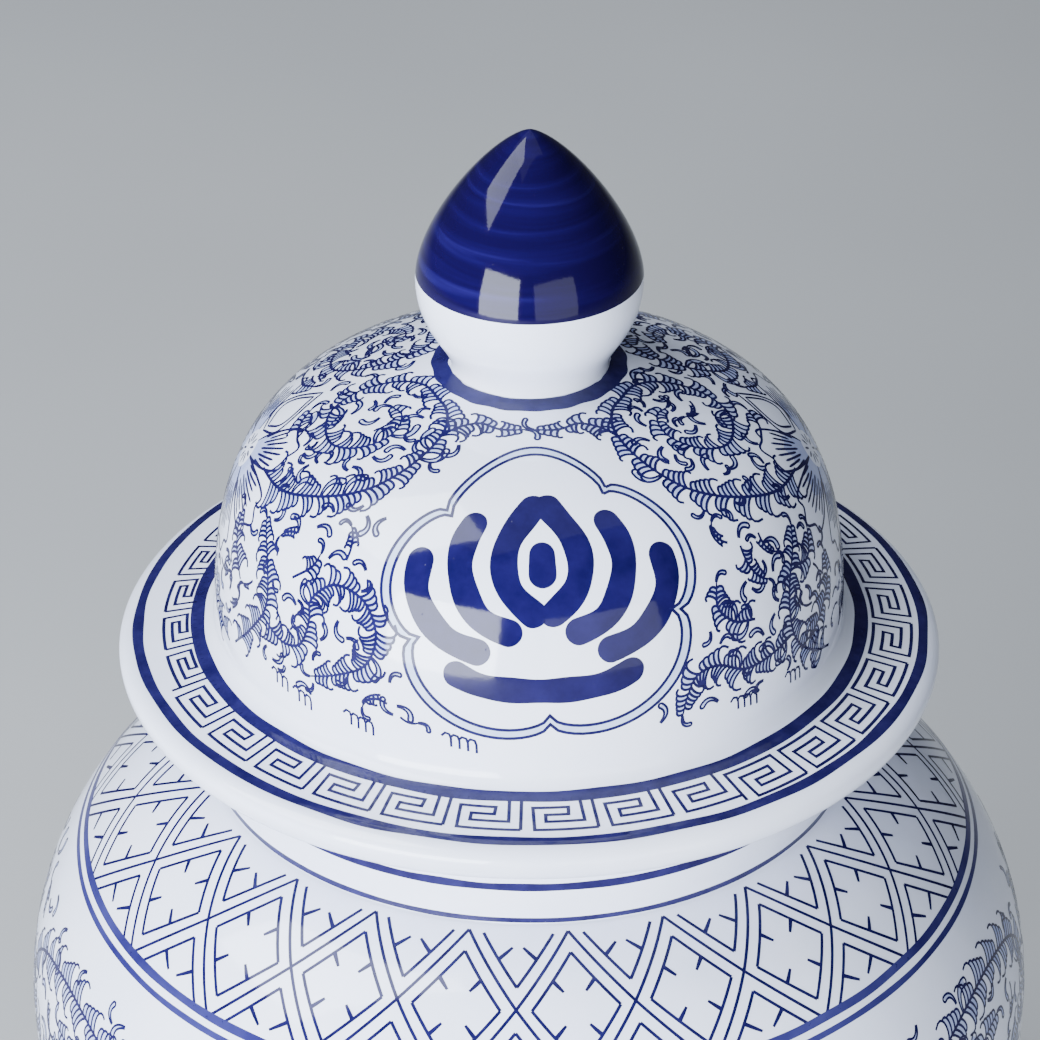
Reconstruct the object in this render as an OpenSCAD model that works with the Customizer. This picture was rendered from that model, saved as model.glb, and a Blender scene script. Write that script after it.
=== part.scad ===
// Lidded porcelain ginger jar, in millimetres.
// Origin: centre of the foot's resting face, +Z up along the axis that every piece turns about.
// The jar stands on its foot ring. The lid rests on the rim of the neck and lifts straight off.

/* [Body] */
// Radius of the belly, the widest place
belly_r = 133; // [125:1:140]
// Height of the belly
belly_z = 181; // [170:1:190]
// Radius where the shoulder meets the neck
shoulder_top_r = 83; // [80:0.5:85]
// Height where the shoulder meets the neck
shoulder_top_z = 253.5; // [248:0.5:260]
// Thickness of the fired clay wall
wall = 6.5; // [5:0.5:7]

/* [Foot] */
// Outer radius at the bottom of the foot ring
foot_r = 84; // [82:1:90]
// Outer radius at the top of the foot ring, where the body is narrowest
waist_r = 80; // [76:1:81]
// Inner radius of the foot ring
foot_bore_r = 70; // [66:1:71]
// Height of the foot ring
foot_h = 13; // [10:1:15]

/* [Neck] */
// Outer radius of the neck at its rim
neck_r = 84; // [82:0.5:86]
// Height of the rim that the lid rests on
rim_z = 279.5; // [277:0.5:281]

/* [Lid] */
// Outer radius of the brim
brim_r = 105.6; // [102:0.2:110]
// Radius of the dome where it rises from the brim
dome_r = 80.6; // [78:0.2:82]
// Height of the brim's flat, at its outer edge
brim_z = 290; // [288:0.5:292]
// Height of the crown, where the finial sits
crown_z = 366.3; // [360:0.5:372]
// Depth that the locating ring reaches down inside the neck
ring_depth = 18; // [12:1:22]
// Gap between the locating ring and the inside of the neck
ring_gap = 1.8; // [1.2:0.1:2.5]

/* [Finial] */
// Radius of the bud at its widest
bud_r = 28.4; // [26:0.1:31]
// Height of the bud's tip
tip_z = 430; // [425:0.5:440]

/* [Hidden] */
$fn = 96;
glaze_white = [0.90, 0.92, 0.96];
clay_white = [0.86, 0.83, 0.78];
cobalt = [0.10, 0.12, 0.48];
curve_steps = 20;
floor_t = 8;
floor_corner = 14;
neck_wall = wall;
neck_bore_r = neck_r - neck_wall;
ring_r = neck_bore_r - ring_gap;
ring_wall = 6;
ring_bore_r = ring_r - ring_wall;
brim_rise = 3;
brim_edge_t = brim_z - rim_z;
brim_flat_r = brim_r - 4.6;
lid_wall = 6;
dome_foot_z = brim_z + 7.6;
crown_r = 20;
vent_r = 1.5;
bud_z = crown_z + 23.4;
bud_wall = 5;

// Points of a cubic Bezier curve through its four control points, the first left out
function bezier(p, n = curve_steps) = [for (i = [1:n]) let (t = i / n, s = 1 - t)
    s * s * s * p[0] + 3 * s * s * t * p[1] + 3 * s * t * t * p[2] + t * t * t * p[3]];

// A curve drawn upwards, moved inwards by a thickness
function unit(v) = v / norm(v);
function inset(p, thick) = [for (i = [0:len(p) - 1])
    let (d = unit(p[min(i + 1, len(p) - 1)] - p[max(i - 1, 0)]))
    p[i] + thick * [-d[1], d[0]]];
function reversed(p) = [for (i = [len(p) - 1:-1:0]) p[i]];

// Outside of the lower body, from the foot ring up to the belly
lower_curve = concat([[waist_r, foot_h]], bezier([
    [waist_r, foot_h], [waist_r + 1, foot_h + 52],
    [belly_r, belly_z - 76], [belly_r, belly_z]]));

// Outside of the shoulder, from the belly up to the neck
upper_curve = concat([[belly_r, belly_z]], bezier([
    [belly_r, belly_z], [belly_r, belly_z + 36.5],
    [shoulder_top_r + 27.4, shoulder_top_z - 9.2], [shoulder_top_r, shoulder_top_z]]));

// Outside of the dome, from the brim up to the crown
dome_curve = concat([[dome_r, dome_foot_z]], bezier([
    [dome_r, dome_foot_z], [dome_r, crown_z - 21],
    [crown_r + 43, crown_z - 8.6], [crown_r, crown_z]]));

// Outside of the bud, from the crown up to its tip
bud_neck_curve = bezier([
    [crown_r, crown_z + 0.5], [crown_r, crown_z + 6.5],
    [bud_r, bud_z - 12.8], [bud_r, bud_z]]);
bud_top_curve = bezier([
    [bud_r, bud_z], [bud_r, bud_z + 13.2], [10.1, tip_z - 3.5], [0, tip_z]]);

module foot_ring() {
    color(clay_white)
        rotate_extrude()
            polygon(concat(
                [[foot_bore_r, foot_h], [foot_bore_r, 3], [foot_bore_r + 2, 0], [foot_r - 4, 0]],
                bezier([[foot_r - 4, 0], [foot_r - 1.5, 0.3], [foot_r, 2], [foot_r, 4]], 6),
                bezier([[foot_r, 4], [foot_r - 0.5, 7], [waist_r, foot_h - 3], [waist_r, foot_h]], 8)));
}

module lower_body() {
    floor_z = foot_h + floor_t;
    corner_z = floor_z + floor_corner;
    inside = [for (p = inset(lower_curve, wall)) if (p[1] > corner_z && p[1] < belly_z) p];
    corner = [inside[0][0], corner_z];
    color(glaze_white)
        rotate_extrude()
            polygon(concat(
                [[0, foot_h]], lower_curve,
                [[belly_r - wall, belly_z]], reversed(inside),
                [corner],
                bezier([corner, corner - [0, 9], [corner[0] - 5, floor_z],
                        [corner[0] - floor_corner, floor_z]], 6),
                [[0, floor_z]]));
}

module upper_body() {
    inside = [for (p = inset(upper_curve, wall))
        if (p[1] > belly_z && p[1] < shoulder_top_z - wall && p[0] > neck_bore_r + 1) p];
    color(glaze_white)
        rotate_extrude()
            polygon(concat(
                upper_curve,
                [[neck_bore_r, shoulder_top_z], [neck_bore_r, shoulder_top_z - wall * 0.7]],
                reversed(inside), [[belly_r - wall, belly_z]]));
}

module neck_collar() {
    lip = 2.5;
    color(glaze_white)
        rotate_extrude()
            polygon(concat(
                [[neck_bore_r, shoulder_top_z], [shoulder_top_r, shoulder_top_z]],
                bezier([[shoulder_top_r, shoulder_top_z], [shoulder_top_r + 0.1, shoulder_top_z + 3],
                        [neck_r, shoulder_top_z + 4], [neck_r, shoulder_top_z + 9]], 6),
                bezier([[neck_r, rim_z - lip], [neck_r, rim_z - 1],
                        [neck_r - 1, rim_z], [neck_r - lip, rim_z]], 5),
                [[neck_bore_r + 1, rim_z], [neck_bore_r, rim_z - 1]]));
}

module lid_shell() {
    inside = [for (p = inset(dome_curve, lid_wall)) if (p[0] > crown_r) p];
    color(glaze_white)
        rotate_extrude()
            polygon(concat(
                [[ring_bore_r, rim_z], [brim_r - 6.5, rim_z]],
                bezier([[brim_r - 6.5, rim_z], [brim_r - 3, rim_z],
                        [brim_r, brim_z - 7.5], [brim_r, brim_z - 3.9]], 8),
                bezier([[brim_r, brim_z - 3.9], [brim_r, brim_z - 1.8],
                        [brim_flat_r + 2, brim_z - 0.4], [brim_flat_r, brim_z - 0.2]], 8),
                bezier([[dome_r + 4.4, brim_z + brim_rise - 0.3], [dome_r + 2, brim_z + brim_rise + 0.2],
                        [dome_r, dome_foot_z - 3], [dome_r, dome_foot_z]], 6),
                dome_curve,
                [[vent_r, crown_z], [vent_r, crown_z - lid_wall]],
                reversed(inside),
                bezier([[dome_r - lid_wall, dome_foot_z], [dome_r - lid_wall, dome_foot_z - 9],
                        [ring_bore_r, rim_z + 8], [ring_bore_r, rim_z]], 8)));
}

module lid_locating_ring() {
    foot_z = rim_z - ring_depth;
    round = 2;
    color(clay_white)
        rotate_extrude()
            polygon(concat(
                [[ring_bore_r, rim_z], [ring_bore_r, foot_z + round]],
                bezier([[ring_bore_r, foot_z + round], [ring_bore_r, foot_z],
                        [ring_bore_r, foot_z], [ring_bore_r + round, foot_z]], 4),
                [[ring_r - round, foot_z]],
                bezier([[ring_r - round, foot_z], [ring_r, foot_z],
                        [ring_r, foot_z], [ring_r, foot_z + round]], 4),
                [[ring_r, rim_z]]));
}

module finial() {
    outside = concat([[crown_r, crown_z]], bud_neck_curve, bud_top_curve);
    hollow_top_z = tip_z - 2 * bud_wall;
    inside = [for (p = inset(outside, bud_wall))
        if (p[1] > crown_z && p[1] < hollow_top_z - 2) p];
    color(cobalt)
        rotate_extrude()
            polygon(concat(
                outside, [[0, hollow_top_z]], reversed(inside),
                [[crown_r - bud_wall, crown_z]]));
}

foot_ring();
lower_body();
upper_body();
neck_collar();
lid_shell();
lid_locating_ring();
finial();
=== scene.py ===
"""The looks of a lidded blue and white porcelain ginger jar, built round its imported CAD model.

Sizes are in millimetres until make_mesh turns them into metres. A place on a turned surface is
an angle in degrees (0 at the front, growing to the right) and a height s along the profile.
All painting is thin closed geometry on the glaze: fine ink lines, pale washes, cobalt bands.
"""
import math
import random

import bpy
import numpy as np
from mathutils import Euler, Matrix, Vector


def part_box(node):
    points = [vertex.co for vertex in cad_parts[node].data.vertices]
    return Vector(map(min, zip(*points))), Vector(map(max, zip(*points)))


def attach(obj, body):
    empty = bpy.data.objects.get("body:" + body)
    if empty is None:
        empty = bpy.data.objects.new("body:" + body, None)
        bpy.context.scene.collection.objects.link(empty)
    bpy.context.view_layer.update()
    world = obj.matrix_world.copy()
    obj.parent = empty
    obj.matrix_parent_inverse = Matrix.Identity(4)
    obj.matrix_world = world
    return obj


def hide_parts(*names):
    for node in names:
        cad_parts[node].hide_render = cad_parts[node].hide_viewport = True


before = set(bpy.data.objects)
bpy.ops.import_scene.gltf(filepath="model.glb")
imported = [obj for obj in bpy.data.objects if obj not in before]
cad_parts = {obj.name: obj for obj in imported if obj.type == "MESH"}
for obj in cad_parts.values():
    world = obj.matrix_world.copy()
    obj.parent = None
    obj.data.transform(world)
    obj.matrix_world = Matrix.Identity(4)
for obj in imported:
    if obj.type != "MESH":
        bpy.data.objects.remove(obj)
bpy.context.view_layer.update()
random.seed(17)

MM = 0.001
# Faces round a full turn.
SEGMENTS = 288
# How far the glazed faces lie inside the CAD solids.
SKIN = 0.1
# How far ink and washes stand above the glaze, and reach below it.
INK_LIFT = 0.05
WASH_LIFT = 0.025
# Width of a fine line, and spacing of the points across broad paint.
LINE = 0.68
PAINT_STEP = 1.1


# ---- driving sizes, from the frame
def top_and_reach(node):
    """Lowest z, highest z and outer radius of a CAD node, in millimetres."""
    low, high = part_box(node)
    return low.z / MM, high.z / MM, high.x / MM


_, foot_h, foot_r = top_and_reach("foot_ring")
_, belly_z, belly_r = top_and_reach("lower_body")
_, shoulder_z, _ = top_and_reach("upper_body")
_, rim_z, neck_r = top_and_reach("neck_collar")
_, crown_z, brim_r = top_and_reach("lid_shell")
ring_low_z, _, ring_r = top_and_reach("lid_locating_ring")
_, tip_z, bud_r = top_and_reach("finial")

wall = 6.5
waist_r = foot_r - 4
foot_bore_r = foot_r - 14
shoulder_r = neck_r - 1
neck_bore_r = neck_r - wall
brim_z = rim_z + 10.5
dome_r = brim_r - 25
dome_foot_z = brim_z + 7.6
lid_wall = 6
ring_bore_r = ring_r - 6
crown_r = 20
bud_z = crown_z + 23.4
bud_paint_z = crown_z + 25.0


# ---- profiles
def bezier(p0, p1, p2, p3, steps, start=0.0, stop=1.0):
    """Points (r, z) of a cubic curve with the unit normals on its right-hand side."""
    control = np.array([p0, p1, p2, p3], float)
    t = np.linspace(start, stop, steps + 1)[:, None]
    u = 1 - t
    weights = np.hstack([u ** 3, 3 * u * u * t, 3 * u * t * t, t ** 3])
    slopes = np.hstack([-u * u, u * u - 2 * u * t, 2 * u * t - t * t, t * t])
    way = slopes @ control
    for row in (0, -1):
        if np.linalg.norm(way[row]) < 1e-9:
            way[row] = control[-1] - control[-3] if row else control[2] - control[0]
    way /= np.linalg.norm(way, axis=1)[:, None]
    return np.hstack([weights @ control, way[:, 1:], -way[:, :1]])


def line(p0, p1, steps=1):
    """A straight stretch of profile, in the same form as bezier gives."""
    p0, p1 = np.array(p0, float), np.array(p1, float)
    way = (p1 - p0) / np.linalg.norm(p1 - p0)
    t = np.linspace(0, 1, steps + 1)[:, None]
    normal = np.tile([way[1], -way[0]], (steps + 1, 1))
    return np.hstack([p0 + t * (p1 - p0), normal])


def lines(*places):
    """Straight stretches from place to place."""
    return np.vstack([line(p, q) for p, q in zip(places[:-1], places[1:])])


def inner_face(curve, thickness, keep):
    """The inner face of a wall whose outer face is curve, from top to bottom, where keep holds."""
    inside = curve[::-1].copy()
    inside[:, :2] -= thickness * inside[:, 2:]
    inside[:, 2:] *= -1
    return inside[[bool(keep(r, z)) for r, z in inside[:, :2]]]


# Radii of the glazed faces, a skin's thickness inside the CAD solids.
belly, waist, shoulder, collar = belly_r - SKIN, waist_r - SKIN, shoulder_r - SKIN, neck_r - SKIN
brim, dome, crown, bud = brim_r - SKIN, dome_r - SKIN, crown_r - SKIN, bud_r - SKIN
brim_flat = brim - 4.6

lower_curve = bezier((waist, foot_h), (waist + 1, foot_h + 52), (belly, belly_z - 76),
                     (belly, belly_z), 90)
upper_curve = bezier((belly, belly_z), (belly, belly_z + 36.5), (shoulder + 27.4, shoulder_z - 9.2),
                     (shoulder, shoulder_z), 60)
neck_curve = np.vstack([
    bezier((shoulder, shoulder_z), (shoulder + 0.1, shoulder_z + 3), (collar, shoulder_z + 4),
           (collar, shoulder_z + 9), 8),
    line((collar, shoulder_z + 9), (collar, rim_z - 2.5), 6)[1:]])
brim_edge_curve = np.vstack([
    bezier((brim - 6.5, rim_z), (brim - 3, rim_z), (brim, brim_z - 7.5), (brim, brim_z - 3.9), 12),
    bezier((brim, brim_z - 3.9), (brim, brim_z - 1.8), (brim_flat + 2, brim_z - 0.4),
           (brim_flat, brim_z - 0.3), 12)[1:]])
brim_top_curve = np.vstack([
    line((brim_flat, brim_z - 0.3), (dome + 4.4, brim_z + 2.6), 14),
    bezier((dome + 4.4, brim_z + 2.6), (dome + 2, brim_z + 3.1), (dome, dome_foot_z - 3),
           (dome, dome_foot_z), 12)[1:]])
dome_curve = bezier((dome, dome_foot_z), (dome, crown_z - 21), (crown_r + 43, crown_z - 8.7),
                    (crown_r, crown_z - SKIN), 80)
bud_neck_curve = bezier((crown, crown_z), (crown, crown_z + 6.5), (bud, bud_z - 12.8), (bud, bud_z), 24)
bud_top = ((bud, bud_z), (bud, bud_z + 13.2), (10.1, tip_z - 3.5), (0, tip_z - SKIN))
fine_bud = bezier(*bud_top, 400)
paint_t = float(np.interp(bud_paint_z, fine_bud[:, 1], np.linspace(0, 1, 401)))
bud_white_curve = bezier(*bud_top, 3, 0, paint_t)
bud_blue_curve = bezier(*bud_top, 48, paint_t, 1)


# ---- meshes
def in_scene(name, data):
    """A new object in the scene that shows this data."""
    piece = bpy.data.objects.new(name, data)
    bpy.context.scene.collection.objects.link(piece)
    return piece


def make_mesh(name, points, corners, sizes, loop_normals=None, point_normals=None):
    """An object from points in millimetres and faces given as one run of corner numbers."""
    mesh = bpy.data.meshes.new(name)
    mesh.vertices.add(len(points))
    mesh.vertices.foreach_set("co", (np.asarray(points, float) * MM).ravel())
    mesh.loops.add(len(corners))
    mesh.loops.foreach_set("vertex_index", np.asarray(corners, np.int32))
    mesh.polygons.add(len(sizes))
    mesh.polygons.foreach_set("loop_start", np.cumsum(np.r_[0, sizes[:-1]]).astype(np.int32))
    mesh.polygons.foreach_set("use_smooth", np.ones(len(sizes), bool))
    mesh.update(calc_edges=True)
    if loop_normals is not None:
        mesh.normals_split_custom_set(loop_normals)
    if point_normals is not None:
        mesh.normals_split_custom_set_from_vertices(point_normals)
    return in_scene(name, mesh)


def lathe(name, *curves):
    """A solid turned about Z from curves that follow its section anticlockwise, end to end."""
    points, corners, sizes, normals = [], [], [], []
    turn = np.radians(np.arange(SEGMENTS) * 360 / SEGMENTS)
    east = np.stack([np.sin(turn), -np.cos(turn)], 1)
    here = np.arange(SEGMENTS)
    after = np.roll(here, -1)
    ring_of = {}

    def ring(r, z):
        """Numbers of the points round the axis at this place in the section, made once."""
        key = (round(r, 5), round(z, 5))
        if key not in ring_of:
            start = sum(len(p) for p in points)
            if r < 1e-6:
                points.append(np.array([[0, 0, z]]))
                ring_of[key] = np.full(SEGMENTS, start)
            else:
                points.append(np.hstack([east * r, np.full((SEGMENTS, 1), z)]))
                ring_of[key] = start + here
        return ring_of[key]

    for curve in curves:
        for (r0, z0, a0, c0), (r1, z1, a1, c1) in zip(curve[:-1], curve[1:]):
            if math.hypot(r1 - r0, z1 - z0) < 1e-6:
                continue
            low, high = ring(r0, z0), ring(r1, z1)
            sides = [(low, here, a0, c0), (low, after, a0, c0), (high, after, a1, c1),
                     (high, here, a1, c1)]
            if r0 < 1e-6:
                sides.pop(1)
            if r1 < 1e-6:
                sides.pop(2)
            corners.append(np.stack([ids[at] for ids, at, _, _ in sides], 1).ravel())
            sizes.append(np.full(SEGMENTS, len(sides)))
            bent = [np.hstack([east[at] * a, np.full((SEGMENTS, 1), c)]) for _, at, a, c in sides]
            normals.append(np.stack(bent, 1).reshape(-1, 3))
    return make_mesh(name, np.vstack(points), np.concatenate(corners), np.concatenate(sizes),
                     loop_normals=np.vstack(normals))


class Surface:
    """The outer face of a turned piece, which the painting lies on."""

    def __init__(self, curve):
        steps = np.linalg.norm(np.diff(curve[:, :2], axis=0), axis=1)
        self.at = np.r_[0, np.cumsum(steps)]
        self.curve = curve
        self.length = self.at[-1]

    def radius(self, s):
        return np.interp(s, self.at, self.curve[:, 0])

    def normals(self, angle, s):
        a = np.radians(angle)
        out = np.interp(s, self.at, self.curve[:, 2])
        up = np.interp(s, self.at, self.curve[:, 3])
        return np.stack([out * np.sin(a), -out * np.cos(a), up], -1)

    def points(self, angle, s, lift):
        a = np.radians(angle)
        r = self.radius(s)
        z = np.interp(s, self.at, self.curve[:, 1])
        return np.stack([r * np.sin(a), -r * np.cos(a), z], -1) + lift * self.normals(angle, s)

    def moved(self, angle, s, right, up):
        """The place that lies this many millimetres to the right and up the surface."""
        return angle + np.degrees(right / np.maximum(self.radius(s), 5)), s + up

    def gap(self, here, there):
        """Millimetres to the right and up from one place to another."""
        return np.radians(there[0] - here[0]) * self.radius((here[1] + there[1]) / 2), there[1] - here[1]

    def way(self, angle, s):
        """Unit directions along a path of places, as millimetres to the right and up."""
        right = np.radians(np.diff(angle)) * self.radius((s[1:] + s[:-1]) / 2)
        up = np.diff(s)
        size = np.maximum(np.hypot(right, up), 1e-9)
        return right / size, up / size, size


class Paint:
    """Thin closed pieces of one colour, gathered into one mesh."""

    def __init__(self, lift=INK_LIFT):
        self.lift = lift
        self.points, self.normals, self.corners, self.sizes = [], [], [], []
        self.lines = []
        self.count = 0

    def add(self, points, normals, faces):
        self.points.append(points)
        self.normals.append(normals)
        for block in faces:
            if len(block):
                self.corners.append(self.count + block.ravel())
                self.sizes.append(np.full(len(block), block.shape[1]))
        self.count += len(points)

    def stroke(self, surface, angle, s, width):
        """A line along a path, three-sided in section, with its flat side up."""
        self.lines.append(np.stack([angle, s], 1)[::2])
        width = np.maximum(np.broadcast_to(width, angle.shape), 0.07)
        right, up, _ = surface.way(angle, s)
        left = np.stack([-up, right], 1)
        before, after = np.vstack([left[:1], left]), np.vstack([left, left[-1:]])
        mitre = before + after
        mitre /= np.maximum(np.linalg.norm(mitre, axis=1), 1e-9)[:, None]
        reach = width / 2 / np.maximum((mitre * after).sum(1), 0.6)
        sides = [surface.moved(angle, s, *(sign * mitre * reach[:, None]).T) for sign in (1, -1)]
        edges = [surface.points(*side, self.lift) for side in sides]
        points = np.stack(edges + [surface.points(angle, s, -self.lift)], 1).reshape(-1, 3)
        normals = np.repeat(surface.normals(angle, s), 3, axis=0)
        i = 3 * np.arange(len(angle) - 1)[:, None]
        last = 3 * (len(angle) - 1)
        quads = np.vstack([i + [1, 4, 3, 0], i + [0, 3, 5, 2], i + [1, 2, 5, 4]])
        caps = np.array([[0, 2, 1], [last, last + 1, last + 2]])
        self.add(points, normals, [quads, caps])

    def patch(self, surface, angle, s, closed=False):
        """A thin sheet over a grid of places: rows by columns, the rows joined up if closed."""
        turn = np.diff(angle, axis=0)[:, :-1] * np.diff(s, axis=1)[:-1]
        turn -= np.diff(s, axis=0)[:, :-1] * np.diff(angle, axis=1)[:-1]
        if turn.sum() < 0:
            angle, s = angle[:, ::-1], s[:, ::-1]
        rows, columns = angle.shape
        number = np.arange(rows * columns).reshape(rows, columns)
        if closed:
            number = np.vstack([number, number[:1]])
        under = number + rows * columns
        top = np.stack([number[:-1, :-1], number[1:, :-1], number[1:, 1:], number[:-1, 1:]], -1)
        base = np.stack([under[:-1, :-1], under[:-1, 1:], under[1:, 1:], under[1:, :-1]], -1)
        edges = [(number[:, 0][::-1], under[:, 0][::-1]), (number[:, -1], under[:, -1])]
        if not closed:
            edges += [(number[0], under[0]), (number[-1][::-1], under[-1][::-1])]
        walls = [np.stack([u[:-1], u[1:], v[1:], v[:-1]], 1) for u, v in edges]
        flat = angle.ravel(), s.ravel()
        points = np.vstack([surface.points(*flat, self.lift), surface.points(*flat, -self.lift)])
        normals = np.tile(surface.normals(*flat), (2, 1))
        self.add(points, normals, [top.reshape(-1, 4), base.reshape(-1, 4), np.vstack(walls)])

    def build(self, name, material, body):
        piece = make_mesh(name, np.vstack(self.points), np.concatenate(self.corners),
                          np.concatenate(self.sizes), point_normals=np.vstack(self.normals))
        finished(piece, material, body, "cobalt_blue")


def finished(piece, material, body, slot, *nodes):
    """Gives a piece its material and body, and hides the CAD nodes that it stands for. slot is not used."""
    piece.data.materials.append(material)
    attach(piece, body)
    if nodes:
        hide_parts(*nodes)


# ---- drawing
def unsteady(amount):
    """A smooth random function of degrees round the jar, for the unsteadiness of a hand."""
    parts = [(random.randint(2, 30), random.uniform(0, math.tau), random.uniform(0.3, 1))
             for _ in range(5)]
    scale = amount / sum(size for _, _, size in parts)
    return lambda angle: scale * sum(
        size * np.sin(count * np.radians(angle) + phase) for count, phase, size in parts)


def spline(surface, places, step):
    """Even steps along a smooth curve through a few places (angle, s)."""
    p = np.array(places, float)
    p = np.vstack([2 * p[0] - p[1], p, 2 * p[-1] - p[-2]])
    t = np.linspace(0, 1, 16, endpoint=False)[:, None]
    runs = [0.5 * (2 * p[i] + (p[i + 1] - p[i - 1]) * t
                   + (2 * p[i - 1] - 5 * p[i] + 4 * p[i + 1] - p[i + 2]) * t ** 2
                   + (3 * p[i] - p[i - 1] - 3 * p[i + 1] + p[i + 2]) * t ** 3)
            for i in range(1, len(p) - 2)]
    fine = np.vstack(runs + [p[-2:-1]])
    along = np.r_[0, np.cumsum(surface.way(*fine.T)[2])]
    at = np.linspace(0, along[-1], max(2, int(round(along[-1] / step)) + 1))
    return np.interp(at, along, fine[:, 0]), np.interp(at, along, fine[:, 1])


def ring(paint, surface, s, width, wobble, dip=None):
    """A painted line round the jar at height s, with slightly uneven edges.

    dip is how far the line runs below s, as a function of degrees."""
    angle = np.arange(0, 360, 5 / 6)
    columns = max(2, int(width / PAINT_STEP) + 2)
    share = np.linspace(-0.5, 0.5, columns)
    low, high = unsteady(wobble), unsteady(wobble)
    middle = s + share[None, :] * width - (dip(angle)[:, None] if dip else 0)
    edge = np.where(share < 0, -2 * share, 0)[None, :] * low(angle)[:, None]
    edge = edge + np.where(share > 0, 2 * share, 0)[None, :] * high(angle)[:, None]
    paint.patch(surface, np.tile(angle[:, None], (1, columns)), middle + edge, True)


class Chart:
    """A flat drawing sheet laid on a surface: x to the right, y up, in millimetres."""

    def __init__(self, surface, angle, s, scale, bend=None):
        self.surface, self.angle, self.s = surface, angle, s
        self.scale, self.bend = scale, bend

    def place(self, x, y):
        """The angle and s of a point on the sheet. bend fixes the radius that it is wrapped to."""
        s = self.s + y * self.scale
        r = self.bend or np.maximum(self.surface.radius(s), 12)
        return self.angle + np.degrees(self.scale * x / r), s

    def path(self, points, step):
        """A smooth path on the surface through drawn points."""
        places = self.place(*np.array(points, float).T)
        return spline(self.surface, np.stack(places, 1), step)

    def pen(self, paint, points, width, step=1.0):
        """A fine line through drawn points, with tapered ends."""
        angle, s = self.path(points, step)
        share = np.linspace(0, 1, len(angle))
        taper = np.clip(np.minimum(share, 1 - share) * 9 + 0.45, 0, 1)
        paint.stroke(self.surface, angle, s, width * taper)

    def brush(self, paint, points, width):
        """A broad stroke with round ends, a little uneven in width."""
        angle, s = self.path(points, 0.4)
        along = np.r_[0, np.cumsum(self.surface.way(angle, s)[2])]
        half = width * self.scale / 2
        turn = np.radians(np.arange(6, 90, 12))
        cap = half * (1 - np.cos(turn))
        middle = np.linspace(half, along[-1] - half, max(2, int((along[-1] - 2 * half) / PAINT_STEP)))
        at = np.concatenate([cap, middle, along[-1] - cap[::-1]])
        wide = np.concatenate([np.sin(turn), np.ones(len(middle)), np.sin(turn)[::-1]])
        wide *= half * (1 + 0.05 * np.sin(0.45 * at + width))
        angle, s = np.interp(at, along, angle), np.interp(at, along, s)
        right, up, _ = self.surface.way(angle, s)
        right, up = np.r_[right, right[-1]], np.r_[up, up[-1]]
        columns = max(3, int(width * self.scale / PAINT_STEP) + 2)
        across = np.outer(wide, np.linspace(-1, 1, columns))
        places = self.surface.moved(angle[:, None], s[:, None], -up[:, None] * across,
                                    right[:, None] * across)
        paint.patch(self.surface, *places)


# ---- scroll foliage
def cubic(p0, p1, p2, p3, count):
    t = np.linspace(0, 1, count)[:, None]
    u = 1 - t
    return u ** 3 * p0 + 3 * u * u * t * p1 + 3 * u * t * t * p2 + t ** 3 * p3


def comb_leaf(surface, ink, wash, stem, at, side, fingers, reach, pitch):
    """A hand of overlapping fingers on one side of a stem, like scales.

    The rearmost finger is the longest and its tip hooks over. Each finger in front of it bends
    over to meet the one behind. stem holds the lengths along it, the places and the directions,
    from root to tip."""
    rows = []
    for i in range(fingers):
        u = at - (fingers - 1 - i) * pitch
        if u < 0:
            continue
        angle, s, right, up = (np.interp(u, stem[0], part) for part in stem[1:])
        ahead = np.array([right, up])
        ahead /= np.hypot(*ahead)
        out = side * np.array([-ahead[1], ahead[0]])
        length = reach * random.uniform(0.95, 1.06)
        if rows:
            length *= 0.92 - 0.46 * i / (fingers - 1)
            behind = rows[-1]
            tip = np.array(surface.gap((angle, s), (behind[0][5], behind[1][5])))
            low, high = ahead * 0.36 + out * 0.34, ahead * 0.44 + out * 1.16
        else:
            tip = ahead * random.uniform(-0.28, -0.05) + out * random.uniform(0.78, 0.9)
            tip = tip * length
            low, high = ahead * 0.36 + out * 0.3, ahead * 0.46 + out * 1.14
        shape = cubic(np.zeros(2), low * length, high * length, tip, 9)
        rows.append(surface.moved(angle, s, shape[:, 0], shape[:, 1]))
    for angle, s in rows:
        ink.stroke(surface, angle, s, LINE * np.linspace(1.1, 1.0, len(angle)))
    if len(rows) > 1:
        rows[0] = tuple(np.interp(np.linspace(0, 0.8, 9), np.linspace(0, 1, 9), part)
                        for part in rows[0])
        wash.patch(surface, *np.array(rows).swapaxes(0, 1))


def tongue(surface, ink, wash, place, ahead, side, reach):
    """A curled tongue with a round end, outlined and filled."""
    out = side * np.array([-ahead[1], ahead[0]])
    middle = cubic(np.zeros(2), (ahead * 0.5 + out * 0.05) * reach,
                   (ahead * 0.95 + out * 0.35) * reach, (ahead * 0.72 + out * 0.92) * reach, 10)
    along = np.gradient(middle, axis=0)
    along /= np.linalg.norm(along, axis=1)[:, None]
    across = np.stack([-along[:, 1], along[:, 0]], 1)
    half = reach * 0.16 * np.linspace(0.12, 1, 10)[:, None] ** 0.7
    turn = np.radians(np.arange(30, 180, 30))[:, None]
    end = middle[-1] + half[-1] * (np.cos(turn) * across[-1] + np.sin(turn) * along[-1])
    edge = np.vstack([middle + half * across, end, (middle - half * across)[::-1]])
    ink.stroke(surface, *surface.moved(*place, edge[:, 0], edge[:, 1]), LINE * 0.95)
    sheet = np.stack([middle + half * across, middle - half * across])
    wash.patch(surface, *surface.moved(*place, sheet[..., 0], sheet[..., 1]))


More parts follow.
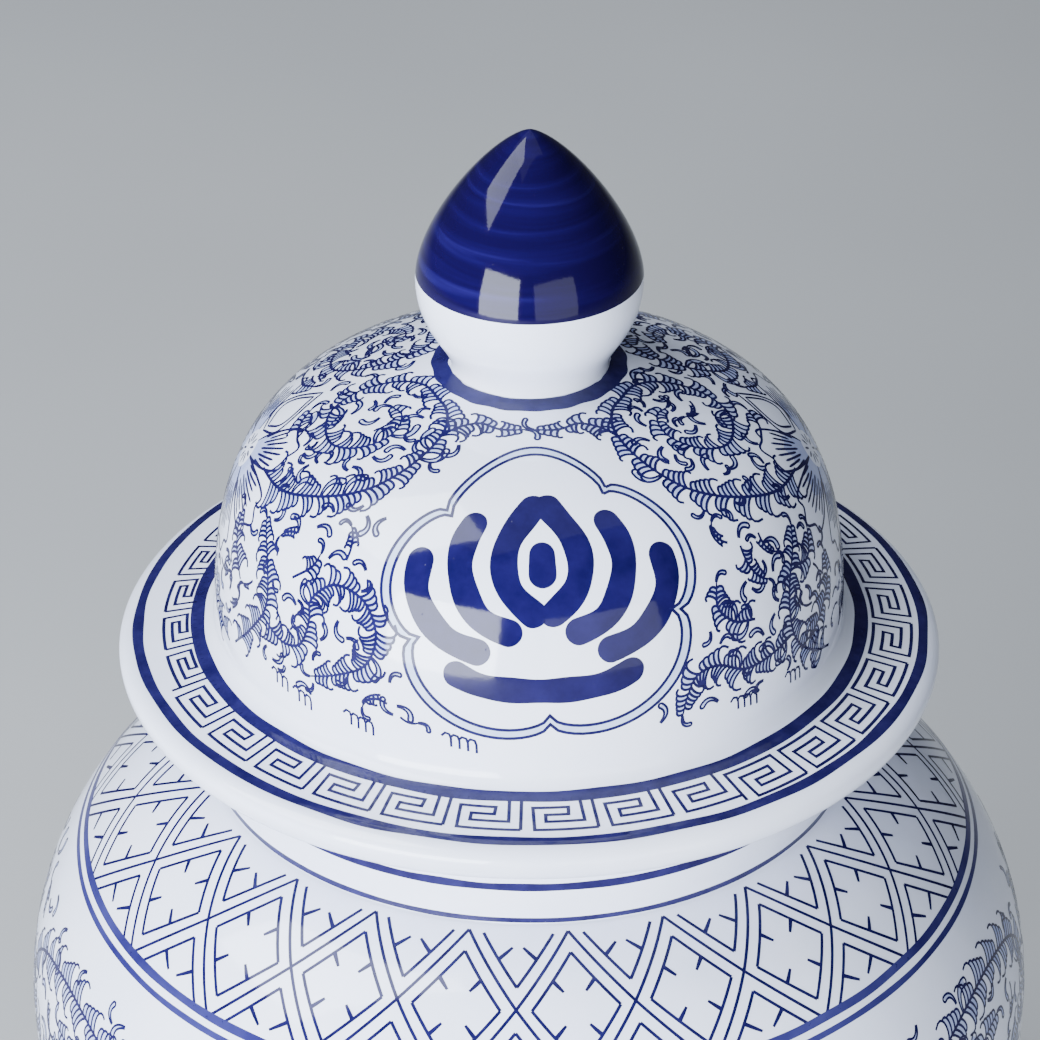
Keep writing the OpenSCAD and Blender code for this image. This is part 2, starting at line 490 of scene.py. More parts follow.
def vine(surface, ink, wash, places, size, mirror, turn, reach=7.8):
    """A stem through places (angle, s) from root to tip, with comb leaves along both sides."""
    placed = [(mirror * angle + turn, s) for angle, s in places]
    angle, s = spline(surface, placed, 0.9)
    right, up, length = surface.way(angle, s)
    along = np.r_[0, np.cumsum(length)]
    stem = (along, angle, s, np.r_[right, right[-1]], np.r_[up, up[-1]])
    share = along / along[-1]
    ink.stroke(surface, angle, s, 0.85 * size ** 0.5 * np.clip(2.2 - 1.6 * share, 0.6, 1))
    pitch = 1.75 * size
    for side in (1, -1):
        at = along[-1] - random.uniform(0.5, 2.5)
        while at > 3.6 * pitch:
            fingers = random.choice((3, 4, 4, 5, 5))
            thin = 0.6 + 0.4 * min(1, (along[-1] - at) / (12 * size))
            narrow = np.clip(surface.radius(np.interp(at, along, s)) / 68, 0.66, 1)
            grown = reach * size * thin * narrow * random.uniform(0.88, 1.12)
            comb_leaf(surface, ink, wash, stem, at, side, fingers, grown, pitch)
            at -= (fingers - 1 + random.uniform(0.75, 1.3)) * pitch
            if random.random() < 0.12:
                here = [np.interp(max(at, 0), along, part) for part in stem[1:]]
                ahead = np.array(here[2:]) / np.hypot(*here[2:])
                tongue(surface, ink, wash, here[:2], side * np.array([-ahead[1], ahead[0]]), -side,
                       6.2 * size)
                at -= 1.2 * pitch
    last = np.array([right[-1], up[-1]])
    tongue(surface, ink, wash, (angle[-1], s[-1]), last, random.choice((-1, 1)), 3.8 * size)


def clearance(surface, places, others):
    """Millimetres from each place (angle, s) to the nearest of the others."""
    nearest = np.full(len(places), np.inf)
    for block in np.array_split(others, max(1, len(others) // 200)):
        turn = (places[:, None, 0] - block[None, :, 0] + 180) % 360 - 180
        middle = (places[:, None, 1] + block[None, :, 1]) / 2
        right = np.radians(turn) * surface.radius(middle)
        nearest = np.minimum(nearest, np.hypot(right, places[:, None, 1] - block[None, :, 1]).min(1))
    return nearest


def fill_gaps(surface, paints, low, high, islands, size):
    """Curled sprigs and loose tongues in the gaps that the vines leave, the widest gap first.

    islands are the round areas (angle, s, radius) to keep clear of. paints are pairs of ink and
    wash for equal parts of the way round."""
    smallest, roomy = 1.9 * size, 4.0 * size
    dice = np.random.default_rng(11)
    spots = np.stack([dice.uniform(0, 360, 4000), dice.uniform(low, high, 4000)], 1)
    drawn = np.vstack([line[::3] for ink, _ in paints for line in ink.lines])
    room = clearance(surface, spots, drawn)
    room = np.minimum(room, np.minimum(spots[:, 1] - low, high - spots[:, 1]) + 2 * size)
    for angle, s, radius in islands:
        room = np.minimum(room, clearance(surface, spots, np.array([[angle, s]])) - radius)
    while room.max() > smallest:
        widest = room.argmax()
        place, free = spots[widest], room[widest]
        ink, wash = paints[int(place[0] * len(paints) / 360)]
        known = len(ink.lines)
        heading = random.uniform(0, math.tau)
        side = random.choice((-1, 1))
        if free > roomy:
            reach = np.clip(0.45 * free, 2.0 * size, 4.4 * size)
            turn = heading + side * random.uniform(0.7, 1.8) * np.linspace(0, 1, 9) ** 1.3
            path = np.cumsum(np.stack([np.cos(turn), np.sin(turn)], 1), axis=0)
            path -= (path.max(0) + path.min(0)) / 2
            path *= (free - 0.75 * reach) / np.hypot(*path.T).max()
            places = np.stack(surface.moved(*place, *path.T), 1)
            vine(surface, ink, wash, places, 0.8 * size, 1, 0, reach / 0.8 / size)
        else:
            ahead = np.array([math.cos(heading), math.sin(heading)])
            reach = min(1.5 * free, 4.5 * size)
            start = surface.moved(*place, *(-0.45 * reach * ahead))
            tongue(surface, ink, wash, start, ahead, side, reach)
        room[widest] = 0
        near = np.abs(spots[:, 1] - place[1]) < 22 * size
        fresh = np.vstack(ink.lines[known:])
        room[near] = np.minimum(room[near], clearance(surface, spots[near], fresh))


def flower(ink, wash, chart):
    """A full blossom of six scalloped petals with fine hatching and a pointed bud above."""
    core, petal = 5.0, 24
    for middle in (35, -15, -65, 145, 195, 245):
        spread = 25
        turn = np.linspace(-spread, spread, 25)
        swing = turn / spread
        edge = petal * (0.84 + 0.16 * np.cos(swing * np.pi / 2)) * (1 + 0.045 * np.cos(swing * 3 * np.pi))
        edge *= 1 - 0.55 * np.abs(swing) ** 7
        direction = np.radians(middle + turn * 0.94)
        outline = np.stack([edge * np.cos(direction), edge * np.sin(direction)], 1)
        foot = core * np.stack([np.cos(direction[[0, -1]]), np.sin(direction[[0, -1]])], 1)
        chart.pen(ink, np.vstack([foot[:1], outline, foot[1:]]), LINE * 1.1, 0.9)
        for i in range(9):
            ray = np.radians(middle + spread * 0.78 * (i / 4 - 1))
            reach = np.array([9.0 + (i % 2) * 2.0, 19.5 - abs(i - 4) * 0.8 + (i % 2)])
            bow = np.array([ray, ray + 0.03 * (i - 4) / 4])
            chart.pen(ink, np.stack([reach * np.cos(bow), reach * np.sin(bow)], 1), LINE)
        radii = core + (edge[:, None] * 0.62 - core) * np.linspace(0, 1, 6)[None, :]
        x, y = radii * np.cos(direction)[:, None], radii * np.sin(direction)[:, None]
        wash.patch(chart.surface, *chart.place(x, y))
    for inset in (0, 1.6):
        half = 6.2 - inset
        for sign in (1, -1):
            chart.pen(ink, [(0, 6 + inset), (sign * half, 10 + inset), (sign * half * 0.9, 16),
                            (0, 24 - 1.6 * inset)], LINE * 1.1)
    for i in range(10):
        ray = math.tau * i / 10
        chart.pen(ink, [(r * math.cos(ray), r * math.sin(ray)) for r in (1.6, core * 0.8)], LINE)


# ---- medallions
def lobed(scale, inset):
    """A closed outline of five uneven lobes, this far inside the medallion's edge."""
    cusps = np.array([48, 147, 206, 272, 344, 408])
    cusp_reach, bulge = 34, 6.3
    share = np.linspace(0, 1, 28, endpoint=False)
    reach = scale * (cusp_reach + bulge * np.sin(np.pi * share) ** 0.55 - inset)
    direction = np.radians(cusps[:-1, None] + np.diff(cusps)[:, None] * share)
    return (reach * np.cos(direction)).ravel(), (reach * np.sin(direction)).ravel()


LOTUS = (
    ((0, -8), (-8.5, 1), (-9, 12), (0, 24.5)),
    ((0, 24.5), (9, 12), (8.5, 1), (0, -8)),
    ((0, 0.5), (0, 12)),
    ((-5, -11.5), (-15, -7), (-20.5, 3), (-21, 11), (-18, 19)),
    ((5, -11.5), (15, -7), (20.5, 3), (21, 11), (18, 19)),
    ((-12, -16.5), (-23, -12.5), (-30.5, -3), (-31.5, 8)),
    ((12, -16.5), (23, -12.5), (30.5, -3), (31.5, 8)),
    ((-22, -20.5), (-11, -24.5), (11, -24.5), (22, -20.5)),
)


def medallions(name, body, surface, angles, s, scale, bend):
    """Lobed frames of two fine lines with a wash between them, each round a bold lotus."""
    ink, wash, bold = Paint(), Paint(WASH_LIFT), Paint()
    frame_width, brush_width = 2.4, 6.5
    for angle in angles:
        chart = Chart(surface, angle, s, 1.0, bend)
        outlines = [chart.place(*lobed(scale, inset)) for inset in (0, frame_width)]
        for a, h in outlines:
            ink.stroke(surface, np.r_[a, a[:1]], np.r_[h, h[:1]], LINE * 1.2)
        wash.patch(surface, *(np.stack([p, q], 1) for p, q in zip(*outlines)), closed=True)
        drawing = Chart(surface, angle, s, scale, bend)
        for stroke in LOTUS:
            drawing.brush(bold, stroke, brush_width)
    ink.build(name + "_frames", INK, body)
    wash.build(name + "_frame_wash", FAINT, body)
    bold.build(name + "_motifs", DEEP, body)


# ---- materials
class Shading:
    """A new material: its Principled shader, and short ways to add nodes and links."""

    def __init__(self, name, roughness, shine=0.5):
        self.material = bpy.data.materials.new(name)
        self.material.use_nodes = True
        self.nodes = self.material.node_tree.nodes
        self.link = self.material.node_tree.links.new
        self.shader = self.nodes["Principled BSDF"]
        self.shader.inputs["Roughness"].default_value = roughness
        self.shader.inputs["Specular IOR Level"].default_value = shine
        self.place = self.add("TexCoord").outputs["Object"]

    def add(self, kind, **values):
        """A node with these values for its inputs or, failing that, for its own settings."""
        node = self.nodes.new("ShaderNode" + kind)
        for key, value in values.items():
            if key in node.inputs:
                node.inputs[key].default_value = value
            else:
                setattr(node, key, value)
        return node

    def pattern(self, kind="TexNoise", **values):
        """The value of a texture laid out in the piece's own coordinates."""
        node = self.add(kind, **values)
        self.link(self.place, node.inputs["Vector"])
        return node.outputs[0]

    def scaled(self, value, **limits):
        """A value brought from one range into another."""
        node = self.add("MapRange", **{key.replace("_", " "): limit for key, limit in limits.items()})
        self.link(value, node.inputs["Value"])
        return node.outputs["Result"]

    def colour(self, value, *stops):
        """The base colour, blended between stops (position, colour) along a value."""
        node = self.add("ValToRGB")
        element = node.color_ramp.elements
        element[0].position, element[0].color = stops[0][0], (*stops[0][1], 1)
        element[1].position, element[1].color = stops[-1][0], (*stops[-1][1], 1)
        for position, colour in stops[1:-1]:
            element.new(position).color = (*colour, 1)
        self.link(value, node.inputs[0])
        self.link(node.outputs["Color"], self.shader.inputs["Base Color"])

    def relief(self, *layers):
        """Bumps (height, strength, depth in metres), each on top of the one before."""
        below = None
        for height, strength, depth in layers:
            bump = self.add("Bump", Strength=strength, Distance=depth)
            self.link(height, bump.inputs["Height"])
            if below is not None:
                self.link(below, bump.inputs["Normal"])
            below = bump.outputs["Normal"]
        self.link(below, self.shader.inputs["Normal"])

    def glaze(self):
        """The glaze itself: a slow waviness, a fine orange peel and a few pinholes."""
        slow = self.pattern(Scale=34.0, Detail=1.0)
        fine = self.pattern(Scale=900.0, Detail=1.0)
        pits = self.pattern("TexVoronoi", Scale=210.0)
        holes = self.scaled(pits, From_Min=0.03, From_Max=0.06)
        self.relief((slow, 0.35, 0.0012), (fine, 0.10, 0.00006), (holes, 0.5, 0.00006))


def white_glaze():
    look = Shading("white_glaze", 0.07)
    cloud = look.pattern(Scale=22.0, Detail=5.0, Roughness=0.6)
    look.colour(cloud, (0.3, (0.72, 0.755, 0.92)), (0.7, (0.80, 0.82, 0.95)))
    smear = look.pattern(Scale=60.0, Detail=2.0)
    gloss = look.scaled(smear, To_Min=0.05, To_Max=0.10)
    look.link(gloss, look.shader.inputs["Roughness"])
    look.glaze()
    return look.material


def painted(name, thin, dense, scale, detail=3.0, bumpy=False):
    """Underglaze paint whose density varies from thin to dense."""
    look = Shading(name, 0.07, 0.25)
    cloud = look.pattern(Scale=scale, Detail=detail, Roughness=0.65)
    look.colour(cloud, (0.32, dense), (0.72, thin))
    if bumpy:
        look.glaze()
    return look.material


def finial_cobalt():
    """Cobalt laid on with a brush as the finial turned, in near-level streaks."""
    look = Shading("finial_cobalt", 0.06, 0.2)
    stretch = look.add("VectorMath", operation="MULTIPLY")
    stretch.inputs[1].default_value = (14.0, 14.0, 330.0)
    look.link(look.place, stretch.inputs[0])
    streak = look.add("TexNoise", Scale=1.0, Detail=3.0, Roughness=0.55, Distortion=0.4)
    look.link(stretch.outputs[0], streak.inputs["Vector"])
    look.colour(streak.outputs["Fac"], (0.40, (0.0035, 0.0010, 0.026)), (0.58, (0.005, 0.0015, 0.038)),
                (0.76, (0.010, 0.006, 0.072)))
    look.glaze()
    return look.material


def bare_porcelain():
    look = Shading("bare_porcelain", 0.75)
    grain = look.pattern(Scale=420.0, Detail=4.0)
    look.colour(grain, (0.35, (0.62, 0.56, 0.46)), (0.6, (0.74, 0.70, 0.62)))
    look.relief((grain, 0.4, 0.0001))
    return look.material


WHITE = white_glaze()
INK = painted("navy_line", (0.014, 0.012, 0.078), (0.006, 0.004, 0.044), 260.0)
COBALT = painted("cobalt_band", (0.019, 0.016, 0.092), (0.007, 0.005, 0.050), 160.0, 5.0, True)
DEEP = painted("cobalt_motif", (0.010, 0.007, 0.070), (0.004, 0.002, 0.038), 90.0, 4.0, True)
RINGS = painted("cobalt_ring", (0.046, 0.046, 0.175), (0.012, 0.009, 0.080), 30.0, 4.0)
PALE = painted("pale_wash", (0.46, 0.51, 0.74), (0.31, 0.36, 0.62), 120.0)
FAINT = painted("faint_wash", (0.52, 0.60, 0.80), (0.40, 0.48, 0.72), 120.0)
BUD_BLUE = finial_cobalt()
BARE = bare_porcelain()


# ---- porcelain pieces
def foot():
    """The foot ring, glazed above its bare resting edge."""
    edge_z = 2.0
    r = foot_r - SKIN
    heel = bezier((r - 4, 0), (r - 1.5, 0.3), (r, 2), (r, 4), 12)
    side = bezier((r, 4), (r - 0.5, 7), (waist, foot_h - 3), (waist, foot_h), 16)
    low = heel[heel[:, 1] < edge_z]
    high = heel[len(low) - 1:]
    split = tuple(low[-1, :2])
    inner, outer = (foot_bore_r, 3), (split[0] - 2, 3)
    glazed = lathe("foot_ring_glazed", high, side, line((waist, foot_h), (foot_bore_r, foot_h)),
                   line((foot_bore_r, foot_h), inner, 3), lines(inner, outer, split))
    finished(glazed, WHITE, "jar", "white_glaze", "foot_ring")
    rim = lathe("foot_rim_bare", line((foot_bore_r + 2, 0), (r - 4, 0), 4), low,
                lines(split, outer, inner, (foot_bore_r + 2, 0)))
    finished(rim, BARE, "jar", "bare_porcelain")


def body():
    floor_z = foot_h + 8
    corner_z = floor_z + 14
    inside = inner_face(lower_curve, wall, lambda r, z: corner_z < z < belly_z)
    corner = (inside[-1, 0], corner_z)
    lower = lathe(
        "lower_body_glazed", lower_curve, line((belly, belly_z), inside[0, :2]), inside,
        line(inside[-1, :2], corner),
        bezier(corner, (corner[0], corner_z - 9), (corner[0] - 5, floor_z),
               (corner[0] - 14, floor_z), 10),
        line((corner[0] - 14, floor_z), (0, floor_z), 8),
        line((0, foot_h), (foot_bore_r, foot_h), 8), line((foot_bore_r, foot_h), (waist, foot_h)))
    finished(lower, WHITE, "jar", "white_glaze", "lower_body")
    keep_z = shoulder_z - wall
    inside = inner_face(upper_curve, wall, lambda r, z: belly_z < z < keep_z and r > neck_bore_r + 1)
    start = (belly - wall, belly_z)
    throat = (neck_bore_r, shoulder_z - wall * 0.7)
    upper = lathe(
        "upper_body_glazed", upper_curve,
        lines((shoulder, shoulder_z), (neck_bore_r, shoulder_z), throat, inside[0, :2]), inside,
        lines(inside[-1, :2], start, (belly, belly_z)))
    finished(upper, WHITE, "jar", "white_glaze", "upper_body")


def neck():
    """The upright neck. Its rim is wiped bare where the lid rests."""
    bare_z = rim_z - 0.8
    lip = bezier((collar, rim_z - 2.5), (collar, rim_z - 1), (collar - 1, rim_z), (collar - 2.5, rim_z), 10)
    wiped = lip[lip[:, 1] > bare_z]
    glazed = lip[:len(lip) - len(wiped) + 1]
    edge = tuple(wiped[0, :2])
    inner = (neck_bore_r + 0.6, edge[1])
    upright = lathe(
        "neck_collar_glazed", neck_curve, glazed, lines(edge, inner, (neck_bore_r, rim_z - 1.6)),
        line((neck_bore_r, rim_z - 1.6), (neck_bore_r, shoulder_z), 6),
        line((neck_bore_r, shoulder_z), (shoulder, shoulder_z)))
    finished(upright, WHITE, "jar", "white_glaze", "neck_collar")
    rim = lathe("neck_rim_bare", wiped,
                lines((collar - 2.5, rim_z), (neck_bore_r + 1.4, rim_z), inner, edge))
    finished(rim, BARE, "jar", "bare_porcelain")


def lid():
    inside = inner_face(dome_curve, lid_wall, lambda r, z: z > dome_foot_z)
    side_r = inside[-1, 0]
    vent_r = 1.5
    top = (vent_r, crown_z - SKIN)
    under = (vent_r, inside[0, 1])
    shell = lathe(
        "lid_shell_glazed", brim_edge_curve, brim_top_curve, dome_curve,
        line((crown_r, crown_z - SKIN), top, 4), lines(top, under, inside[0, :2]), inside,
        bezier((side_r, inside[-1, 1]), (side_r, dome_foot_z - 9), (ring_bore_r, rim_z + 8),
               (ring_bore_r, rim_z), 16),
        line((ring_bore_r, rim_z), (neck_bore_r, rim_z), 2),
        line((neck_bore_r, rim_z), (brim - 6.5, rim_z), 4))
    finished(shell, WHITE, "lid", "white_glaze", "lid_shell")
    r0, r1, z0 = ring_bore_r, ring_r, ring_low_z
    locating = lathe(
        "lid_locating_ring_bare", line((r0 + 2, z0), (r1 - 2, z0), 2),
        bezier((r1 - 2, z0), (r1, z0), (r1, z0), (r1, z0 + 2), 6), line((r1, z0 + 2), (r1, rim_z), 6),
        line((r1, rim_z), (r0, rim_z)), line((r0, rim_z), (r0, z0 + 2), 6),
        bezier((r0, z0 + 2), (r0, z0), (r0, z0), (r0 + 2, z0), 6))
    finished(locating, BARE, "lid", "bare_porcelain", "lid_locating_ring")


def finial():
    """The bud: glazed white below, cobalt above a level edge."""
    edge = tuple(bud_blue_curve[0, :2])
    white = lathe("finial_white", bud_neck_curve, bud_white_curve, line(edge, (0, edge[1]), 6),
                  line((0, crown_z), (crown, crown_z), 4))
    finished(white, WHITE, "lid", "white_glaze", "finial")
    blue = lathe("finial_cobalt", bud_blue_curve, line((0, edge[1]), edge, 6))
    finished(blue, BUD_BLUE, "lid", "cobalt_blue")


# ---- painting
def from_radius(curve, radius):
    """The part of an inward-running curve inside a radius, started exactly there."""
    inside = curve[curve[:, 0] < radius]
    first = [np.interp(-radius, -curve[:, 0], part) for part in curve.T]
    return np.vstack([first, inside])


BRIM = Surface(np.vstack([brim_edge_curve[13:], brim_top_curve[1:]]))
DOME = Surface(np.vstack([from_radius(brim_top_curve, 83.5), dome_curve[1:]]))
NECK = Surface(neck_curve)
BODY = Surface(np.vstack([lower_curve, upper_curve[1:]]))


def brim_s(radius):
    """The place s along the brim where it has this radius."""
    radii = BRIM.curve[::-1, 0]
    return float(np.interp(radius, radii, BRIM.at[::-1]))


def key_band():
    """A running key pattern, printed in strips that don't quite meet."""
    ink = Paint()
    count = 32
    pitch = 360 / count
    strips = ((0, 96.2, 86.2), (9, 98.2, 88.4), (18, 93.9, 85.8))
    unit = ((0, 0), (0, 1), (0.83, 1), (0.84, 0.27), (0.33, 0.27), (0.33, 0.5), (0.64, 0.5),
            (0.65, 0.74), (0.16, 0.74), (0.18, 0), (1.0, 0))
    first = -68.7
    for i in range(count):
        _, outer_r, inner_r = [strip for strip in strips if strip[0] <= i][-1]
        outer, inner = brim_s(outer_r), brim_s(inner_r)
        x, y = np.array(unit).T
        angle = first + (i + x) * pitch
        s = outer + (inner - outer) * y
        corners = np.stack([angle, s], 1)
        runs = [corners[:1]]
        for start, end in zip(corners[:-1], corners[1:]):
            parts = 1 + int(abs(end[0] - start[0]) / 1.4)
            runs.append(start + np.linspace(0, 1, parts + 1)[1:, None] * (end - start))
        ink.stroke(BRIM, *np.vstack(runs).T, 0.9)
    ink.build("brim_key_band", INK, "lid")


def lean(angle):
    """How far the brim's outer ring runs outside its mean radius, in millimetres."""
    a = np.radians(angle)
    return 0.4 * np.sin(a) - np.cos(a)


def bands(name, material, body, surface, *rings):
    """Painted rings round one surface, each as ring takes it, in one piece."""
    paint = Paint()
    for band in rings:
        ring(paint, surface, *band)
    paint.build(name, material, body)


def lid_bands():
    bands("brim_rings", COBALT, "lid", BRIM, (brim_s(85.2), 3.5, 0.35), (brim_s(101.0), 2.7, 0.35, lean))
    bands("crown_collar", COBALT, "lid", DOME, (DOME.length - 2.3, 4.6, 0.5))


QUARTER_VINES = (
    ((76, 55.5), (65, 56.5), (55.5, 60.5), (47, 65.7), (41, 71.5), (36.5, 79.8), (34.7, 88), (36.5, 94.8),
     (43.6, 99.4), (53, 101), (66, 101.6), (75.6, 99), (81, 94), (82.5, 86.5), (79, 78.8), (73, 75),
     (64, 73.4), (56, 77), (51.4, 83.5), (52.5, 88.4), (57.5, 91.4), (64, 91)),
    ((35, 91), (31, 95.5), (23, 98.5), (13, 97.5), (2, 98)),
    ((75, 67), (80, 69), (84, 73)),
)
RIGHT_CLUSTER = (
    ((69, 9), (62, 13), (56, 20), (54.5, 28), (56, 36), (60, 43), (62.6, 48)),
    ((54.5, 23), (48, 21.5), (41.5, 21.5), (35.5, 25.5), (31, 25), (28.8, 20.5), (27.6, 15)),
    ((45, 33), (40, 35), (37, 40), (38, 46)),
    ((58.5, 39), (64, 38), (67.5, 44)),
    ((57, 17), (64, 20), (70, 27), (71, 35)),
    ((76, 9), (82, 14), (85, 22), (84, 30)),
)
LEFT_CLUSTER = (
    ((-66, 12), (-60, 20), (-55.5, 30), (-58, 40), (-64, 49)),
    ((-56, 27), (-50, 24), (-45, 26), (-43.5, 33), (-44, 38.5), (-39.5, 44.5), (-32.5, 43.5),
     (-28.7, 36.5), (-30, 28), (-36, 22.5), (-42, 19)),
    ((-50, 41), (-46, 46), (-45, 50)),
    ((-66, 30), (-72, 38), (-74, 45)),
    ((-69, 10), (-77, 14), (-82, 22)),
    ((-86, 12), (-88, 19), (-91, 26)),
)
MEDALLION_ANGLES = (2.7, 182.7)
MEDALLION_S = 52
BLOSSOM_S = 51
COMB_SCRAPS = ((38, 13.5), (52, 12), (-46, 12.5), (-34, 12.5), (-52, 14), (-15, 13))
# Mirror sign and turn of the four quarters of a pattern that repeats front and back.
QUARTERS = ((1, 0), (-1, 0), (1, 180), (-1, 180))


def comb_scrap(surface, ink, place, teeth, size):
    """A loose comb of a few hanging teeth, as along the foot of the dome."""
    for i in range(teeth):
        x = np.array([-0.2, 0.25, 0.75, 0.95, 1.0]) * 1.5 + i * 1.5
        y = np.array([0.4, 1.1, 0.9, 0.1, -1.6]) - 0.25 * i
        ink.stroke(surface, *surface.moved(*place, x * size, y * size), LINE * 0.95)


def dome_painting():
    ink, wash = Paint(), Paint(WASH_LIFT)
    for mirror, turn in QUARTERS:
        for places in QUARTER_VINES:
            vine(DOME, ink, wash, places, size=0.93, mirror=mirror, turn=turn)
    for turn in (0, 180):
        for places in RIGHT_CLUSTER + LEFT_CLUSTER:
            vine(DOME, ink, wash, places, size=0.78, mirror=1, turn=turn, reach=7.2)
        for angle, s in COMB_SCRAPS:
            comb_scrap(DOME, ink, (angle + turn, s), teeth=random.choice((3, 4)), size=1.4)
    for side in (90, -90):
        flower(ink, wash, Chart(DOME, side, BLOSSOM_S, scale=1.05, bend=66))
    medallion_r, blossom_r = 43, 25
    islands = [(angle, MEDALLION_S, medallion_r) for angle in MEDALLION_ANGLES]
    islands += [(side, BLOSSOM_S, blossom_r) for side in (90, -90)]
    fill_gaps(DOME, [(ink, wash)], low=14, high=101, islands=islands, size=0.9)
    ink.build("dome_scrolls", INK, "lid")
    wash.build("dome_scroll_wash", PALE, "lid")
    medallions("dome", "lid", DOME, MEDALLION_ANGLES, MEDALLION_S, scale=0.99, bend=70)


TICK = np.array([1.15, 1.0, 0.7])


def sway(angle):
    """How far the shoulder's hand-turned rings dip below level, in millimetres."""
    a = np.radians(angle)
    return np.cos(2 * a) - 0.74 * np.sin(a) - 0.93 * np.sin(2 * a)


def lattice():
    """A net of diamonds with a smaller diamond and four ticks in each, on the shoulder."""
    ink = Paint()
    count = 22
    pitch = 360 / count
    top, middle, low = 2.5, 23.0, 42.6
    first = -1.7

    def segment(p, q, width=0.85):
        share = np.linspace(0, 1, 2 + int(abs(q[1] - p[1]) / 2.2) if np.isscalar(width) else len(width))
        angle = p[0] + share * (q[0] - p[0])
        down = p[1] + share * (q[1] - p[1])
        ink.stroke(BODY, angle, BODY.length - down - sway(angle) * down / low, width)

    half = pitch / 2
    for i in range(count):
        centre = first + (i + 0.5) * pitch
        corners = ((centre, top), (centre + half, middle), (centre, low), (centre - half, middle))
        inner = ((centre, top + 6.0), (centre + half * 0.74, middle + 0.3), (centre, low - 5.5),
                 (centre - half * 0.74, middle + 0.3))
        for shape in (corners, inner):
            for p, q in zip(shape, shape[1:] + shape[:1]):
                segment(p, q)
        for p, q in zip(inner, inner[1:] + inner[:1]):
            mid = ((p[0] + q[0]) / 2, (p[1] + q[1]) / 2)
            towards = (centre * 0.48 + mid[0] * 0.52, middle * 0.42 + mid[1] * 0.58)
            segment(mid, towards, TICK)
        gap = first + i * pitch
        for base, rise in ((top, 1), (low, -1)):
            apex = middle - rise * 5.6
            for sign in (1, -1):
                segment((gap + sign * half * 0.7, base + rise * 0.6), (gap, apex))
                side = (gap + sign * half * 0.36, (base + apex) / 2 + rise * 0.3)
                segment(side, (gap + sign * half * 0.10, side[1] - rise * 3.4), TICK)
    ink.build("shoulder_lattice", INK, "jar")


def jar_bands():
    bands("neck_lines", COBALT, "jar", NECK, (NECK.length - 12.0, 2.2, 0.2), (1.0, 1.6, 0.2))
    bands("body_rings", RINGS, "jar", BODY, (BODY.length - 42.2, 2.2, 0.2, sway),
          (BODY.length - 45.8, 1.6, 0.15, sway), (14, 1.6, 0.2), (18, 1.0, 0.15))


BODY_VINES = (
    ((80, 117), (66, 113), (54, 104), (48, 91), (49, 78), (56, 68), (67, 63.5), (77, 67), (82, 76),
     (80.5, 86), (74, 93), (66, 92), (61, 85), (63, 78), (68, 76)),
    ((50, 76), (43, 69), (33, 65), (20, 64), (8, 64)),
    ((80, 136), (66, 140), (54, 150), (48, 164), (49, 180), (57, 192), (68, 196), (79, 190), (83, 178),
     (80, 166), (71, 160), (62, 164), (60, 173), (66, 180)),
    ((50, 180), (42, 190), (30, 200), (16, 206), (4, 208)),
    ((44, 84), (38, 98), (38, 112), (42, 124)),
    ((44, 168), (38, 154), (38, 140), (41, 132)),
)


def body_painting():
    """Large scrolls round the belly, a little nearer to the rings on the right than on the left."""
    total = BODY.length
    motif_s = total - 126
    climb = 2.5
    paints = [(Paint(), Paint(WASH_LIFT)) for _ in QUARTERS]
    for mirror, turn in QUARTERS:
        ink, wash = paints[int((mirror * 45 + turn) % 360 // 90)]
        for places in BODY_VINES:
            up = [(angle, total - t + climb * math.sin(math.radians(mirror * angle + turn)))
                  for angle, t in places]
            vine(BODY, ink, wash, up, size=1.1, mirror=mirror, turn=turn, reach=6.8)
        if mirror == 1:
            flower(ink, wash, Chart(BODY, turn + 90, motif_s, scale=1.35))
    medallion_r, blossom_r = 64, 34
    islands = [(angle, motif_s, medallion_r) for angle in (0, 180)]
    islands += [(side, motif_s, blossom_r) for side in (90, -90)]
    fill_gaps(BODY, paints, low=46, high=total - 57, islands=islands, size=1.25)
    for number, (ink, wash) in enumerate(paints, 1):
        ink.build(f"body_scrolls_{number}", INK, "jar")
        wash.build(f"body_scroll_wash_{number}", PALE, "jar")
    medallions("body", "jar", BODY, (0, 180), motif_s, scale=1.5, bend=None)


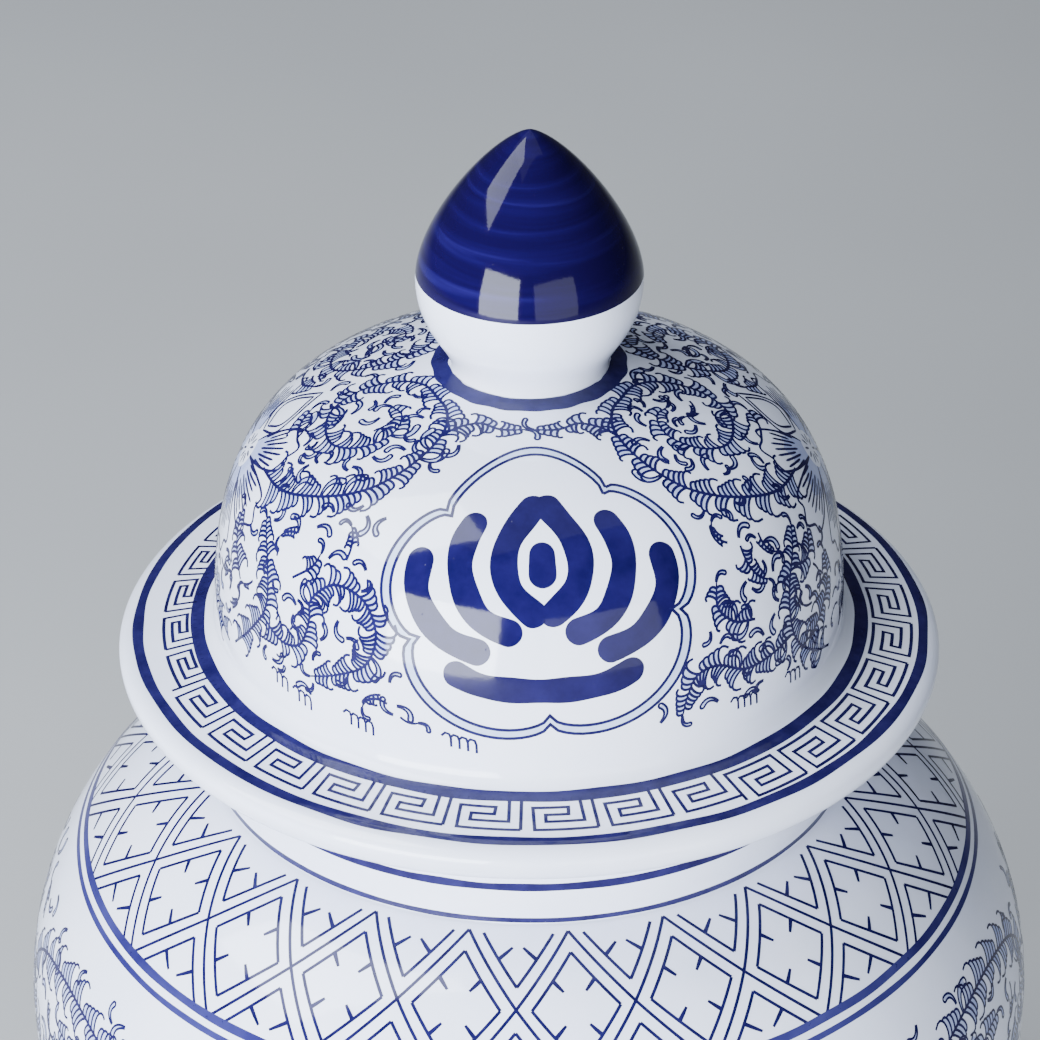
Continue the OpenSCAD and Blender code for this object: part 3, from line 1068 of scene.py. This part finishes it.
# ---- floor, camera and light
def stage():
    mesh = bpy.data.meshes.new("floor")
    half = 6.0
    mesh.from_pydata([(-half, -half, 0), (half, -half, 0), (half, half, 0), (-half, half, 0)],
                     [], [(0, 1, 2, 3)])
    floor = in_scene("floor", mesh)
    look = Shading("pale_floor", 0.6)
    grain = look.pattern(Scale=3.0, Detail=2.0)
    look.colour(grain, (0.3, (0.43, 0.43, 0.44)), (0.7, (0.47, 0.47, 0.48)))
    mesh.materials.append(look.material)


def camera():
    """The photograph's view: close, from above, along the jar's front."""
    lens = bpy.data.cameras.new("camera")
    lens.lens = 159.2
    lens.sensor_width = 36
    lens.clip_start = 0.05
    eye = in_scene("camera", lens)
    distance, elevation = 1.185, math.radians(31.95)
    tilt, turn = 30.71, 0.135
    target_z = brim_z * MM
    eye.location = (0, -distance * math.cos(elevation), target_z + distance * math.sin(elevation))
    eye.rotation_euler = Euler((math.radians(90 - tilt), 0, math.radians(turn)))
    bpy.context.scene.camera = eye


def softbox(name, azimuth, elevation, distance, width, height, power):
    """A rectangular lamp that faces the lid. Azimuth 0 is the front, growing to the right."""
    lamp = bpy.data.lights.new(name, "AREA")
    lamp.shape = "RECTANGLE"
    lamp.size = width
    lamp.size_y = height
    lamp.energy = power
    lamp.color = (0.86, 0.93, 1.0)
    holder = in_scene(name, lamp)
    a, e = math.radians(azimuth), math.radians(elevation)
    way = Vector((math.sin(a) * math.cos(e), -math.cos(a) * math.cos(e), math.sin(e)))
    aim = Vector((0, 0, brim_z * MM))
    holder.location = aim + distance * way
    holder.rotation_euler = way.to_track_quat("Z", "Y").to_euler()


def lights():
    softbox("front_left", -30, 7, 1.9, 1.35, 1.25, 165)
    softbox("front_right", 26, 6, 1.9, 1.4, 1.1, 17)
    softbox("left_high", -80, 56, 2.0, 1.05, 1.45, 60)
    softbox("ceiling", -150, 82, 2.0, 2.0, 2.0, 10)
    world = bpy.data.worlds.new("studio")
    world.use_nodes = True
    background = world.node_tree.nodes["Background"].inputs
    background["Color"].default_value = (0.85, 0.92, 1.0, 1)
    background["Strength"].default_value = 0.08
    bpy.context.scene.world = world


# ---- the jar
camera()
stage()
lights()
foot()
body()
neck()
lid()
finial()
key_band()
lid_bands()
dome_painting()
lattice()
jar_bands()
body_painting()
